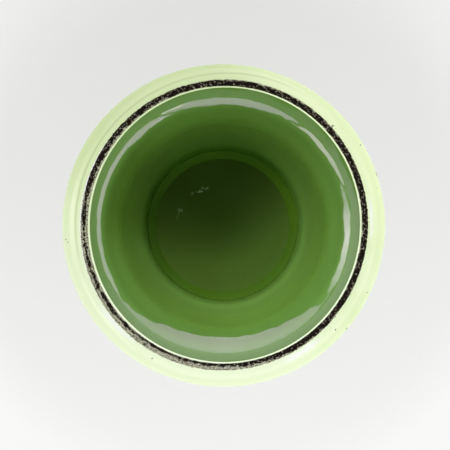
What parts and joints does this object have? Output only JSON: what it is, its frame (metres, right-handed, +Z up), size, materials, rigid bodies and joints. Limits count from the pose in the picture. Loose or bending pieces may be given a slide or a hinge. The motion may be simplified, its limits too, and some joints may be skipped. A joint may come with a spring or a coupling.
{
  "type": "brush pot",
  "caption": "Thick-walled glazed ceramic brush pot with a rolled rim, dark speckled rim band, green inside and pale lime outside, on a turned foot ring; holds brushes upright on a desk.",
  "frame": {"origin": "centre of the foot ring's resting face, at table level", "axes": "+Z up along the pot's axis of revolution, out of the mouth; X and Y are free choices, because the pot is round"},
  "size_m": [0.1006, 0.1006, 0.118],
  "materials": {
    "fired_clay": "matte",
    "pale_glaze": "gloss",
    "green_glaze": "gloss",
    "rim_paint": "satin"
  },
  "bodies": {
    "root": {"pot_wall": "fired_clay", "floor_disc": "fired_clay", "corner_coil": "fired_clay", "foot_ring": "fired_clay", "outer_glaze": "pale_glaze", "inner_glaze": "green_glaze", "base_glaze": "pale_glaze", "rim_band": "rim_paint"}
  },
  "joints": []
}
